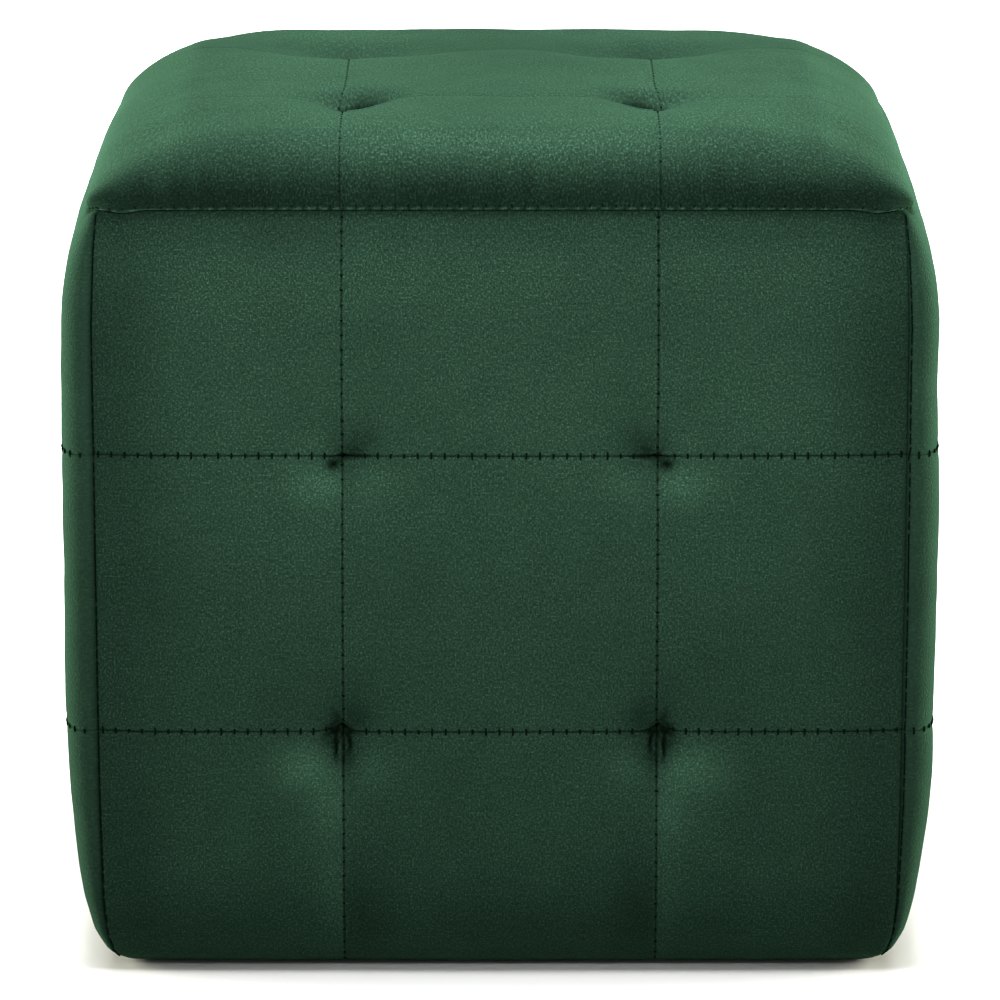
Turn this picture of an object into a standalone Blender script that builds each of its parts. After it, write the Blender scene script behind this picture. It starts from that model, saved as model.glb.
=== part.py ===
"""Cube pouf: five padded velvet panels sewn edge to edge, closed underneath by a flat base panel.

Metres, +Z up. The origin is on the floor under the middle of the pouf, and the front faces -Y.
Each padded panel is one filled solid: a crowned outer face with its sewn channels and tufts, cut
edges that meet the next panel, and a flat back.
"""

import math

import bmesh
import bpy
from mathutils import Vector

# ---------------------------------------------------------------- driving sizes
SEAM_HEIGHT = 0.263          # floor to the seam around the top panel
PANEL_DEPTH = 0.030          # corner seam to the flat back of a panel
GAP = 0.0003                 # clearance between neighbouring panels
BASE_THICKNESS = 0.010

SIDE_ROLL = 0.011            # how far a side panel swells out just inside its corner seams
CORNER_WRAP = 0.0085         # how far the left and right panels reach round onto front and back
WRAP_REACH = 0.045           # width of cloth over which they do so
CORNER_OVERHANG = 0.006      # how far their roll is pushed on past the corner seam
OVERHANG_REACH = 0.018       # width of cloth that this push takes up
WRAP_ROLL_REACH = 0.014      # distance from the corner seam at which their roll is full
FLAT_ROLL_REACH = 0.026      # the same for the rest of the front and back panels' roll
SEAM_HOLD = 0.020            # distance from the corner seam at which a channel is at full depth
SIDE_CROWN = 0.0016          # the further swell towards the middle of the panel
SIDE_TOP_REACH = 0.039       # distance below the top seam at which the swell is full
SIDE_FOOT_REACH = 0.077      # height above the floor at which the swell is full
SIDE_FOOT_SHARE = 0.08       # share of the swell that is left on the floor
FOOT_ROUND = 0.0065          # radius of the edge that stands on the floor

TOP_RISE = 0.0276            # height of the top panel's cushion over its seam
TOP_DOME = 0.0028            # the further rise in the middle
TOP_REACH = 0.062            # distance from the seam at which the cushion is at full height
TOP_OVERHANG = 0.006         # how far the roll over the seam is pushed outwards
TOP_OVERHANG_REACH = 0.021   # width of cloth that this roll takes up

SIDE_TUFTS = 0.053           # middle of a side panel to its upright channels
SIDE_TUFT_ROWS = (0.0855, 0.1805)
TOP_TUFTS = 0.0545           # middle of the top panel to its channels
TUFT_DEPTH = 0.0095
TUFT_REACH = 0.0185
TUFT_POINT = 0.35            # share of the depth and of the reach that forms the narrow centre
CHANNEL_DEPTH = 0.0012
CHANNEL_REACH = 0.004

# Corner seam, from the floor up: its distance from each middle plane of the pouf.
CORNER_PROFILE = (
    # height, half width
    (0.000, 0.1298),
    (0.005, 0.1324),
    (0.012, 0.1338),
    (0.025, 0.1349),
    (0.060, 0.1360),
    (0.100, 0.1369),
    (0.160, 0.1373),
    (0.225, 0.1373),
    (0.250, 0.1363),
    (SEAM_HEIGHT, 0.1354),
)

# Distances from an edge or a seam at which the mesh has a line, and the widest cell between.
CORNER_STEPS = (0.0, 0.002, 0.005, 0.010, 0.017, 0.027)
TOP_EDGE_STEPS = (0.0, 0.0015, 0.004, 0.008, 0.013, 0.019, 0.028, 0.040)
UNDER_SEAM_STEPS = (0.0, 0.0015, 0.005, 0.011, 0.020, 0.032)
FOOT_STEPS = (0.0, 0.0006, 0.002, 0.004, 0.007, 0.015, 0.028, 0.046)
CHANNEL_STEPS = (-0.010, -0.004, 0.0, 0.004, 0.010)
WIDEST_CELL = 0.022

VELVET = (0.030, 0.115, 0.066, 1.0)
BASE_CLOTH = (0.018, 0.018, 0.019, 1.0)


# ---------------------------------------------------------------- shape rules
def share(value, reach):
    """The part of a reach that a distance covers, from 0 to 1."""
    return min(max(value / reach, 0.0), 1.0)


def swell(value, reach, rise=2.0, roundness=2.0):
    """A cushion's height, 0 at its seam and 1 from the reach inwards."""
    return (1.0 - (1.0 - share(value, reach)) ** rise) ** (1.0 / roundness)


def tuft(distance):
    """How deep the cloth is pulled in at a distance from a tuft."""
    wide = math.exp(-((distance / TUFT_REACH) ** 2))
    point = math.exp(-distance / (TUFT_REACH * TUFT_POINT))
    return TUFT_DEPTH * ((1.0 - TUFT_POINT) * wide + TUFT_POINT * point)


def channel(distance):
    """How deep the cloth is drawn in at a distance from a sewn channel."""
    return CHANNEL_DEPTH * math.exp(-((distance / CHANNEL_REACH) ** 2))


def corner_half(height):
    """Distance of the corner seam from the pouf's middle planes at a height."""
    half = CORNER_PROFILE[-1][1]
    for (low, half_low), (high, half_high) in zip(CORNER_PROFILE, CORNER_PROFILE[1:]):
        if height <= high:
            half = half_low + (half_high - half_low) * (height - low) / (high - low)
            break
    turned_under = 1.0 - share(height, FOOT_ROUND)
    return half - FOOT_ROUND * (1.0 - math.sqrt(1.0 - turned_under**2))


def side_point(across, height, wraps):
    """A point of a side's outer face, placed as the front; across runs from -1 to 1 between seams.

    The left and right panels wrap round the pouf's corners with a full roll, so the corner seams
    lie out on its front and back faces, and the front and back panels are flatter next to them.
    """
    half = corner_half(height)
    under_seam = swell(SEAM_HEIGHT - height, SIDE_TOP_REACH)
    over_foot = SIDE_FOOT_SHARE + (1.0 - SIDE_FOOT_SHARE) * swell(height, SIDE_FOOT_REACH)
    fullness = under_seam * over_foot
    x = half * across
    inset = half - abs(x)
    if wraps:
        wrap = CORNER_WRAP * (1.0 - share(inset, WRAP_REACH)) ** 2
        wrap += CORNER_OVERHANG * math.sin(math.pi * share(inset, OVERHANG_REACH) ** 0.6)
        x += math.copysign(wrap * fullness, x)
        roll = SIDE_ROLL * swell(inset, WRAP_ROLL_REACH, roundness=1.3)
    else:
        rest = SIDE_ROLL - CORNER_WRAP
        roll = CORNER_WRAP + rest * swell(inset, FLAT_ROLL_REACH, roundness=1.2)
    crown = SIDE_CROWN * (1.0 - across**2)
    out = half + (roll + crown) * fullness

    hold = swell(inset, SEAM_HOLD) * under_seam * swell(height, FOOT_ROUND)
    for seam in (-SIDE_TUFTS, SIDE_TUFTS):
        out -= hold * channel(x - seam)
        for row in SIDE_TUFT_ROWS:
            out -= tuft(math.hypot(x - seam, height - row))
    for row in SIDE_TUFT_ROWS:
        out -= hold * channel(height - row)
    mitre = (half - GAP / math.sqrt(2.0)) / half
    return Vector((x * mitre, -out, height))


def side_back(across, height):
    """The point of the front panel's flat back that lies behind an edge point."""
    depth = corner_half(SEAM_HEIGHT) - PANEL_DEPTH
    return Vector((across * (depth - GAP / math.sqrt(2.0)), -depth, height))


def top_point(across, along):
    """A point of the top panel's outer face; both places run from -1 to 1 between its seams."""
    half = corner_half(SEAM_HEIGHT)
    inset = [half * (1.0 - abs(place)) for place in (across, along)]
    height = [swell(distance, TOP_REACH, rise=3.2, roundness=1.1) for distance in inset]
    roll = [
        TOP_OVERHANG * math.sin(math.pi * share(distance, TOP_OVERHANG_REACH))
        for distance in inset
    ]
    x = math.copysign(half - inset[0] + roll[0] * height[1], across)
    y = math.copysign(half - inset[1] + roll[1] * height[0], along)
    cushion = height[0] * height[1]
    z = TOP_RISE + TOP_DOME * (1.0 - (x / half) ** 2) * (1.0 - (y / half) ** 2)
    for seam in (-TOP_TUFTS, TOP_TUFTS):
        z -= channel(x - seam) + channel(y - seam)
        for other in (-TOP_TUFTS, TOP_TUFTS):
            z -= tuft(math.hypot(x - seam, y - other))
    return Vector((x, y, SEAM_HEIGHT + GAP / 2.0 + z * cushion))


def mesh_lines(low, high, seams, low_steps, high_steps):
    """Places of the mesh lines between two edges, close together where the cloth bends."""
    stops = [low + step for step in low_steps] + [high - step for step in high_steps]
    stops += [seam + step for seam in seams for step in CHANNEL_STEPS]
    lines = [low]
    for stop in sorted(stops)[1:]:
        cells = max(1, math.ceil((stop - lines[-1]) / WIDEST_CELL - 0.01))
        start = lines[-1]
        lines += [start + (stop - start) * cell / cells for cell in range(1, cells + 1)]
    return lines


# ---------------------------------------------------------------- building
def velvet_finish():
    """Deep green velvet."""
    return finish("velvet", VELVET, 0.85)


def base_finish():
    """Plain dark cloth under the pouf."""
    return finish("base_cloth", BASE_CLOTH, 0.95)


def finish(name, colour, roughness):
    material = bpy.data.materials.new(name)
    material.use_nodes = True
    shader = material.node_tree.nodes["Principled BSDF"]
    shader.inputs["Base Color"].default_value = colour
    shader.inputs["Roughness"].default_value = roughness
    shader.inputs["Metallic"].default_value = 0.0
    return material


def face_grid(bm, columns, rows, point):
    """Lay a grid of faces over a rule and return its corner vertices, row by row."""
    grid = [[bm.verts.new(point(column, row)) for column in columns] for row in rows]
    for lower, upper in zip(grid, grid[1:]):
        for index in range(len(columns) - 1):
            bm.faces.new((lower[index], lower[index + 1], upper[index + 1], upper[index]))
    return grid


def close_back(bm):
    """Close the open edge of a panel with faces that meet in one middle point."""
    rim = [edge for edge in bm.edges if edge.is_boundary]
    cap = bmesh.ops.edgeloop_fill(bm, edges=rim)["faces"]
    bmesh.ops.poke(bm, faces=cap)


def add_object(name, bm, material):
    """Turn a bmesh into a smooth-shaded object with one material."""
    bmesh.ops.recalc_face_normals(bm, faces=bm.faces)
    mesh = bpy.data.meshes.new(name)
    bm.to_mesh(mesh)
    bm.free()
    mesh.materials.append(material)
    mesh.shade_smooth()
    mesh.set_sharp_from_angle(angle=math.radians(50.0))
    return link(name, mesh)


def link(name, mesh):
    part = bpy.data.objects.new(name, mesh)
    bpy.context.collection.objects.link(part)
    return part


def build_side_mesh(name, material, wraps):
    """A side panel, placed as the front."""
    half = corner_half(SEAM_HEIGHT)
    seams = (-SIDE_TUFTS, SIDE_TUFTS)
    columns = [line / half for line in mesh_lines(-half, half, seams, CORNER_STEPS, CORNER_STEPS)]
    top = SEAM_HEIGHT - GAP / 2.0
    rows = mesh_lines(0.0, top, SIDE_TUFT_ROWS, FOOT_STEPS, UNDER_SEAM_STEPS)

    bm = bmesh.new()
    grid = face_grid(bm, columns, rows, lambda across, height: side_point(across, height, wraps))
    places = {
        vertex: (column, row)
        for row, line in zip(rows, grid)
        for column, vertex in zip(columns, line)
    }
    rim = [edge for edge in bm.edges if edge.is_boundary]
    cut_edge = bmesh.ops.extrude_edge_only(bm, edges=rim)["geom"]
    for item in cut_edge:
        if isinstance(item, bmesh.types.BMVert):
            neighbours = [edge.other_vert(item) for edge in item.link_edges]
            front = next(vertex for vertex in neighbours if vertex in places)
            item.co = side_back(*places[front])
    # Split alike on both sides of a corner, the bent cut edges stay parallel.
    cut_faces = [item for item in cut_edge if isinstance(item, bmesh.types.BMFace)]
    bmesh.ops.triangulate(bm, faces=cut_faces, quad_method="SHORT_EDGE")
    close_back(bm)
    return add_object(name, bm, material)


def build_sides(material):
    """Four padded panels around the pouf; the back is as the front, and the left as the right."""
    front = build_side_mesh("front_panel", material, wraps=False)
    right = build_side_mesh("right_panel", material, wraps=True)
    right.rotation_euler.z = math.pi / 2.0
    back = link("back_panel", front.data)
    back.rotation_euler.z = math.pi
    left = link("left_panel", right.data)
    left.rotation_euler.z = -math.pi / 2.0


def build_top(material):
    """The crowned top panel with a flat underside on the side panels' upper edges."""
    half = corner_half(SEAM_HEIGHT)
    seams = (-TOP_TUFTS, TOP_TUFTS)
    lines = mesh_lines(-half, half, seams, TOP_EDGE_STEPS, TOP_EDGE_STEPS)
    places = [line / half for line in lines]
    bm = bmesh.new()
    face_grid(bm, places, places, top_point)
    close_back(bm)
    add_object("top_panel", bm, material)


def build_base(material):
    """A flat plate between the side panels, level with the floor."""
    half = corner_half(SEAM_HEIGHT) - PANEL_DEPTH - GAP
    bm = bmesh.new()
    bmesh.ops.create_cube(bm, size=1.0)
    bmesh.ops.scale(bm, vec=(2.0 * half, 2.0 * half, BASE_THICKNESS), verts=bm.verts)
    bmesh.ops.translate(bm, vec=(0.0, 0.0, BASE_THICKNESS / 2.0), verts=bm.verts)
    add_object("base_panel", bm, material)


def main():
    for old in list(bpy.data.objects):
        bpy.data.objects.remove(old, do_unlink=True)
    velvet = velvet_finish()
    build_sides(velvet)
    build_top(velvet)
    build_base(base_finish())


if __name__ == "__main__":
    main()
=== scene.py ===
"""Cube pouf: its velvet panels with their seams, tufts and stitches, its base, and a plain studio.

The pouf stands on the floor at the origin, +Z up, and its front faces -Y. The rules of the cloth
count in millimetres. The meshes that they give, like all else, are in metres.
"""

from __future__ import annotations

import logging
import math
from collections.abc import Sequence
from dataclasses import dataclass, field
from enum import Enum
from typing import Any

import bmesh
import bpy
import numpy as np
from mathutils import Matrix, Vector


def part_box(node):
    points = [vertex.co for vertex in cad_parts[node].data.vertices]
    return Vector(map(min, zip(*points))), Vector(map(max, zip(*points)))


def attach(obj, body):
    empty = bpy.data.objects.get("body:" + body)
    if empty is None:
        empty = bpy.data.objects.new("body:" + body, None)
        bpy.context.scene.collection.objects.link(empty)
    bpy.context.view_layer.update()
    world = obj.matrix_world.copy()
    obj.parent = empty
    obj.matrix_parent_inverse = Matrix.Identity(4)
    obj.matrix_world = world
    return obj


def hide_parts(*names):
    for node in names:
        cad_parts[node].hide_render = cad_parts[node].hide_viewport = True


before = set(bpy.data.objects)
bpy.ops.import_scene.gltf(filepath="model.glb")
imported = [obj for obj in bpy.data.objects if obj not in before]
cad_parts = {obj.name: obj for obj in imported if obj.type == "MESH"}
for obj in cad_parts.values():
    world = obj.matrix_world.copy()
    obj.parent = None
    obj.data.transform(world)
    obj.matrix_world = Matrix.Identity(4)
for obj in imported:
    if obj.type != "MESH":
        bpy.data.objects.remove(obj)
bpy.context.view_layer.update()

MM = 0.001
LOG = logging.getLogger("cube_pouf")

Array = np.ndarray
Colour = tuple[float, float, float, float]


# ---- shape rules
def share(value: Array, reach: float) -> Array:
    """The part of a reach that a distance covers, from 0 to 1."""
    return np.clip(value / reach, 0.0, 1.0)


def swell(value: Array, reach: float, rise: float = 2.0, roundness: float = 2.0) -> Array:
    """A cushion's height, 0 at its seam and 1 from the reach inwards."""
    return (1.0 - (1.0 - share(value, reach)) ** rise) ** (1.0 / roundness)


def hump(distance: Array, reach: float) -> Array:
    """A soft bell, 1 at distance 0."""
    return np.exp(-((distance / reach) ** 2))


def spike(distance: Array, reach: float) -> Array:
    """A sharp peak, 1 at distance 0."""
    return np.exp(-np.abs(distance) / reach)


def wander(across: Array, along: Array, seed: int, pitch: float, waves: int = 9) -> Array:
    """Smooth unevenness of about -1 to 1.

    Args:
        across: First cloth coordinate.
        along: Second cloth coordinate.
        seed: Fixes the pattern.
        pitch: Middle distance between its bumps.
        waves: How many plane waves it is made of.

    Returns:
        The height of the pattern at each point.
    """
    random = np.random.default_rng(seed)
    total = np.zeros(np.broadcast(across, along).shape)
    for _ in range(waves):
        angle, phase = random.uniform(0.0, 2.0 * math.pi, 2)
        length = pitch * random.uniform(0.7, 1.6)
        place = across * math.cos(angle) + along * math.sin(angle)
        total = total + np.sin(2.0 * math.pi * place / length + phase)
    return total / math.sqrt(waves) / 1.4


def cloth_lines(
    low: float,
    high: float,
    seams: Sequence[float],
    edge_steps: Sequence[float],
    seam_steps: Sequence[float],
    pitch: float = 2.3,
) -> Array:
    """Places of the mesh lines across a panel, close together at its edges and seams.

    Args:
        low: First edge.
        high: Last edge.
        seams: Places of the sewn channels between them.
        edge_steps: Distances from an edge that get a line.
        seam_steps: Distances to either side of a channel that get a line.
        pitch: Widest cell elsewhere.

    Returns:
        The sorted places.
    """
    stops = [low + step for step in edge_steps] + [high - step for step in edge_steps]
    stops += [seam + side * step for seam in seams for step in seam_steps for side in (-1, 1)]
    stops = sorted({round(stop, 4) for stop in stops})
    lines = [stops[0]]
    for stop in stops[1:]:
        cells = max(1, math.ceil((stop - lines[-1]) / pitch - 0.01))
        lines += list(np.linspace(lines[-1], stop, cells + 1)[1:])
    return np.array(lines)


def add_object(name: str, data: Any) -> bpy.types.Object:
    """Put a mesh, a lamp or a camera into the scene."""
    made = bpy.data.objects.new(name, data)
    bpy.context.collection.objects.link(made)
    return made


# ---- nodes
class Graph:
    """Adds nodes to one node tree."""

    def __init__(self, tree: bpy.types.NodeTree) -> None:
        """Keep the tree that nodes are added to."""
        self.tree = tree

    def node(self, kind: str, settings: dict[str, Any] | None = None, **inputs: Any) -> bpy.types.Node:
        """Add a node.

        Args:
            kind: The node's type name.
            settings: Attributes of the node, set before its sockets.
            inputs: What its sockets get, as in wire.

        Returns:
            The new node.
        """
        made = self.tree.nodes.new(kind)
        for key, value in (settings or {}).items():
            setattr(made, key, value)
        self.wire(made, **inputs)
        return made

    def wire(self, node: bpy.types.Node, **inputs: Any) -> None:
        """Link or set some of a node's sockets.

        Args:
            node: The node.
            inputs: Signals, outputs, nodes (for their first output) or plain values, by the name of
                the socket with _ for a space, or inN by its index.
        """
        for key, value in inputs.items():
            by_index = key.startswith("in") and key[2:].isdigit()
            socket = node.inputs[int(key[2:]) if by_index else key.replace("_", " ")]
            if isinstance(value, Signal):
                value = value.socket
            elif isinstance(value, bpy.types.Node):
                value = value.outputs[0]
            if isinstance(value, bpy.types.NodeSocket):
                self.tree.links.new(value, socket)
            else:
                socket.default_value = value

    def signal(self, kind: str, settings: dict[str, Any] | None = None, **inputs: Any) -> Signal:
        """Add a node and wrap its first output."""
        return Signal(self, self.node(kind, settings, **inputs).outputs[0])

    def tint(self, colour: Colour, strength: Any) -> Signal:
        """Multiply a colour by a number."""
        scale = {"operation": "SCALE"}
        return self.signal("ShaderNodeVectorMath", scale, in0=colour[:3], Scale=strength)

    def noise(self, place: Any, scale: float, detail: float = 2.0, rough: float = 0.5) -> Signal:
        """A noise of about 0 to 1 at a scale per metre."""
        kind = "ShaderNodeTexNoise"
        return self.signal(kind, Vector=place, Scale=scale, Detail=detail, Roughness=rough)


class Signal:
    """A number from a socket that can be used in plain arithmetic."""

    def __init__(self, graph: Graph, socket: bpy.types.NodeSocket) -> None:
        """Wrap a socket of a graph."""
        self.graph = graph
        self.socket = socket

    def _math(self, operation: str, first: Any, second: Any) -> Signal:
        """Add a Math node."""
        return self.graph.signal("ShaderNodeMath", {"operation": operation}, in0=first, in1=second)

    def __add__(self, other: Any) -> Signal:
        """Sum."""
        return self._math("ADD", self, other)

    __radd__ = __add__

    def __sub__(self, other: Any) -> Signal:
        """Difference."""
        return self._math("SUBTRACT", self, other)

    def __rsub__(self, other: Any) -> Signal:
        """Difference, the other way round."""
        return self._math("SUBTRACT", other, self)

    def __mul__(self, other: Any) -> Signal:
        """Product."""
        return self._math("MULTIPLY", self, other)

    __rmul__ = __mul__

    def at_least(self, low: float) -> Signal:
        """Keep from falling under a number."""
        return self._math("MAXIMUM", self, low)

    def clamp(self) -> Signal:
        """Keep between 0 and 1."""
        return self.graph.signal("ShaderNodeClamp", Value=self)


# ---- finishes
class Finish:
    """A material with one Principled shader."""

    title: str

    def build(self) -> bpy.types.Material:
        """Make the material.

        Returns:
            The material, with its shader dressed.
        """
        material = bpy.data.materials.new(self.title)
        material.use_nodes = True
        self.dress(Graph(material.node_tree), material.node_tree.nodes["Principled BSDF"])
        return material

    def dress(self, graph: Graph, shader: bpy.types.Node) -> None:
        """Set the shader's sockets."""
        raise NotImplementedError


@dataclass(frozen=True)
class Velvet(Finish):
    """Short-pile velvet: fine upright streaks, soft cloudy shading and a light sheen."""

    title: str = "velvet_green"
    colour: Colour = (0.0136, 0.0338, 0.0209, 1.0)
    sheen_tint: Colour = (0.40, 1.0, 0.60, 1.0)
    streaks_per_metre: float = 1700.0
    streak_length: float = 2.3
    grain_per_metre: float = 1500.0
    clouds_per_metre: float = 16.0
    patches_per_metre: float = 96.0

    def dress(self, graph: Graph, shader: bpy.types.Node) -> None:
        """Colour the pile by its streaks and its flecks, and multiply in the painted light and shade
        stored on the mesh.

        Args:
            graph: The material's nodes.
            shader: Its shader.
        """
        cloth = graph.node("ShaderNodeUVMap", {"uv_map": "cloth"})
        slower = (1.0, 1.0 / self.streak_length, 1.0)
        stretched = graph.node("ShaderNodeVectorMath", {"operation": "MULTIPLY"}, in0=cloth, in1=slower)
        streaks = graph.noise(stretched, self.streaks_per_metre, 2.0, 0.6)
        grain = graph.noise(cloth, self.grain_per_metre, 1.0)
        clouds = graph.noise(cloth, self.clouds_per_metre, 3.0, 0.55)
        patches = graph.noise(cloth, self.patches_per_metre)
        # The pile attribute is painted light and shade: the tufts' lit and shaded sides, painted shade
        # in the creases and seams, and a painted gradient by height. It scales the base colour.
        painted_shading, nap = (
            Signal(graph, graph.node("ShaderNodeAttribute", {"attribute_name": name}).outputs[2])
            for name in ("pile", "nap")
        )
        flecks = (grain - 0.52).at_least(0.0) * (0.4 + 1.2 * clouds)
        fine = (1.9 * (streaks - 0.5)).at_least(-0.22) + 6.0 * flecks
        soft = 0.35 * (clouds - 0.5) + 0.25 * (patches - 0.5)
        tone = (0.88 + fine * nap + soft).at_least(0.15) * (1.0 + painted_shading)
        height = 0.7 * streaks + 0.5 * grain
        graph.wire(
            shader,
            Base_Color=graph.tint(self.colour, tone),
            Roughness=(0.70 + 0.25 * grain).clamp(),
            Normal=graph.node("ShaderNodeBump", Height=height, Strength=0.7, Distance=0.8 * MM),
            Sheen_Weight=0.12,
            Sheen_Roughness=0.45,
            Sheen_Tint=self.sheen_tint,
            Specular_IOR_Level=0.0,
        )


@dataclass(frozen=True)
class Speckled(Finish):
    """A plain finish whose colour varies with some noises and whose bump follows the first.

    Each speck is a scale per metre, a detail, a roughness and a strength.
    """

    title: str
    colour: Colour
    tone: float
    specks: tuple[tuple[float, float, float, float], ...]
    roughness: float = 0.9
    shine: float = 0.5
    bump: float = 0.0

    def dress(self, graph: Graph, shader: bpy.types.Node) -> None:
        """Colour and roughen the surface by its specks.

        Args:
            graph: The material's nodes.
            shader: Its shader.
        """
        place = graph.node("ShaderNodeTexCoord").outputs["Object"]
        noises = [graph.noise(place, *speck[:3]) for speck in self.specks]
        tone = self.tone + sum(speck[3] * noise for speck, noise in zip(self.specks, noises))
        graph.wire(shader, Base_Color=graph.tint(self.colour, tone), Roughness=self.roughness)
        graph.wire(shader, Specular_IOR_Level=self.shine)
        if self.bump:
            bump = {"Height": noises[0], "Strength": self.bump, "Distance": 0.3 * MM}
            graph.wire(shader, Normal=graph.node("ShaderNodeBump", **bump))


# The thread is dark green, darkened to near black so that the stitches also stand for the shade in the
# holes they pull in the cloth: partly the thread's own colour, partly painted shade.
DARK_THREAD_WITH_HOLE_SHADE = Speckled(
    "thread_green_hole_shade", (0.0018, 0.0060, 0.0038, 1.0), 0.6, ((2500.0, 1.0, 0.5, 0.8),), shine=0.0
)
BASE_CLOTH = Speckled(
    "base_cloth_dark",
    (0.018, 0.018, 0.019, 1.0),
    0.4,
    ((900.0, 4.0, 0.7, 0.8), (40.0, 2.0, 0.5, 0.4)),
    roughness=0.95,
    bump=0.4,
)
STUDIO_FLOOR = Speckled("studio_floor", (0.92, 0.92, 0.92, 1.0), 0.99, ((3.0, 2.0, 0.5, 0.02),))


# ---- painted light and shade, tufts and seams, all in millimetres
@dataclass(frozen=True)
class Band:
    """A soft bell about one distance: painted light (over 0), painted shade (under 0), or for the hem a
    depth.
    """

    tone: float
    place: float
    reach: float

    def over(self, distance: Array) -> Array:
        """Tone at a distance."""
        return self.tone * hump(distance - self.place, self.reach)


@dataclass(frozen=True)
class Fold:
    """A small crease that leaves a tuft.

    The angle is in degrees from the inward side of the panel, turning upwards.
    """

    angle: float
    start: float
    length: float
    depth: float
    width: float
    tone: float = 0.0

    def _place(self, inward: Array, upward: Array) -> tuple[Array, Array]:
        """Follow the crease.

        Args:
            inward: Distances inwards from the tuft.
            upward: Distances up from it.

        Returns:
            Strength of the crease along its length, and the distance to its middle line.
        """
        turn = math.radians(self.angle)
        along = inward * math.cos(turn) + upward * math.sin(turn)
        aside = upward * math.cos(turn) - inward * math.sin(turn)
        return share(along, self.start) * (1.0 - share(along, self.length)) ** 1.5, aside

    def sink(self, inward: Array, upward: Array) -> Array:
        """Depth of the crease at places measured from the tuft."""
        ends, aside = self._place(inward, upward)
        banks = hump(np.abs(aside) - 2.2 * self.width, self.width)
        return self.depth * ends * (hump(aside, self.width) - 0.4 * banks)

    def shade(self, inward: Array, upward: Array) -> Array:
        """Painted shade (under 0) in the crease, with painted highlights on its banks."""
        ends, aside = self._place(inward, upward)
        banks = hump(np.abs(aside) - 1.9 * self.width, 0.8 * self.width)
        return self.tone * ends**0.4 * (hump(aside, self.width) - 0.35 * banks)


@dataclass(frozen=True)
class Patch:
    """A soft oval beside a tuft where the cloth is hollow, where light is painted (tone over 0), or
    where shade is painted (tone under 0).

    Below its middle the reach is multiplied by `below`. With `only` at -1 or 1 it is felt on the
    outboard or the inboard side of the upright seam.
    """

    inward: float
    upward: float
    reach: float
    stretch: float = 1.0
    depth: float = 0.0
    tone: float = 0.0
    only: float = 0.0
    below: float = 1.0

    def weight(self, inward: Array, upward: Array) -> Array:
        """How much of the patch is felt.

        Args:
            inward: Distances inwards from the tuft.
            upward: Distances up from it.

        Returns:
            The share, from 0 to about 1.
        """
        across = (inward - self.inward) / (self.reach * self.stretch)
        above = (upward - self.upward) / self.reach
        above = np.where(above < 0.0, above / self.below, above)
        side = 1.0 - 0.4 * abs(self.only) + 0.4 * self.only * np.tanh(inward / 0.5)
        return side * np.exp(-(across**2) - above**2)


@dataclass(frozen=True)
class Tuft:
    """A place where a stitch pulls the cloth into the padding."""

    depth: float
    reach: float
    point_depth: float
    point_reach: float
    hole_depth: float
    hole_reach: float
    folds: tuple[Fold, ...] = ()
    patches: tuple[Patch, ...] = ()

    def broad(self, inward: Array, upward: Array) -> Array:
        """Depth of the soft hollow around the tuft."""
        distance = np.hypot(inward, upward)
        hollow = self.depth * hump(distance, self.reach)
        return hollow + self.point_depth * spike(distance, self.point_reach)

    def sink(self, inward: Array, upward: Array) -> Array:
        """Depth of the pulled cloth.

        Args:
            inward: Distances inwards from the tuft.
            upward: Distances up from it.

        Returns:
            How far the cloth is pulled in.
        """
        hole = self.hole_depth * hump(np.hypot(inward, upward), self.hole_reach)
        folds = sum(fold.sink(inward, upward) for fold in self.folds)
        hollows = sum(patch.depth * patch.weight(inward, upward) for patch in self.patches)
        return self.broad(inward, upward) + hole + folds + hollows

    def tone(self, inward: Array, upward: Array) -> Array:
        """Painted light and shade round the tuft: painted shade in its hole and creases, and its
        painted lit and shaded sides.

        Args:
            inward: Distances inwards from the tuft.
            upward: Distances up from it.

        Returns:
            Over 0 where it is lighter, under 0 where it is darker.
        """
        # Painted shade in the hole.
        hole = -0.85 * hump(np.hypot(inward, upward), self.hole_reach * 1.2)
        folds = sum(fold.shade(inward, upward) for fold in self.folds)
        patches = sum(patch.tone * patch.weight(inward, upward) for patch in self.patches)
        return hole + folds + patches


# In the tuft tables the fold and patch tones are painted light and shade: the lower, outboard banks,
# which face up and towards the middle, painted lit; the upper, inboard banks painted shaded; painted
# shade in the creases and holes.
UPPER_TUFT = Tuft(
    depth=4.4,
    reach=16.0,
    point_depth=3.6,
    point_reach=5.5,
    hole_depth=1.2,
    hole_reach=1.2,
    folds=(
        Fold(0.0, 0.8, 10.0, 2.2, 0.8, -0.75),
        Fold(180.0, 1.0, 8.0, 0.6, 0.6, -0.3),
        Fold(222.0, 1.2, 7.0, 1.8, 1.2),
        Fold(270.0, 1.0, 16.0, 0.5, 0.6),
        Fold(308.0, 1.5, 9.0, 0.6, 1.3),
    ),
    patches=(
        Patch(-7.5, -9.5, 7.0, stretch=1.4, tone=0.72, only=-1.0),
        Patch(10.0, -9.5, 6.5, stretch=1.1, tone=0.28),
        Patch(-9.0, 4.5, 3.5, stretch=1.4, tone=0.22),
        Patch(-3.2, -2.9, 2.1, stretch=1.2, tone=-1.15),
        Patch(3.5, 1.4, 1.8, stretch=2.0, tone=-0.45),
        Patch(5.5, 4.5, 6.0, stretch=1.2, tone=-0.42),
    ),
)

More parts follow.
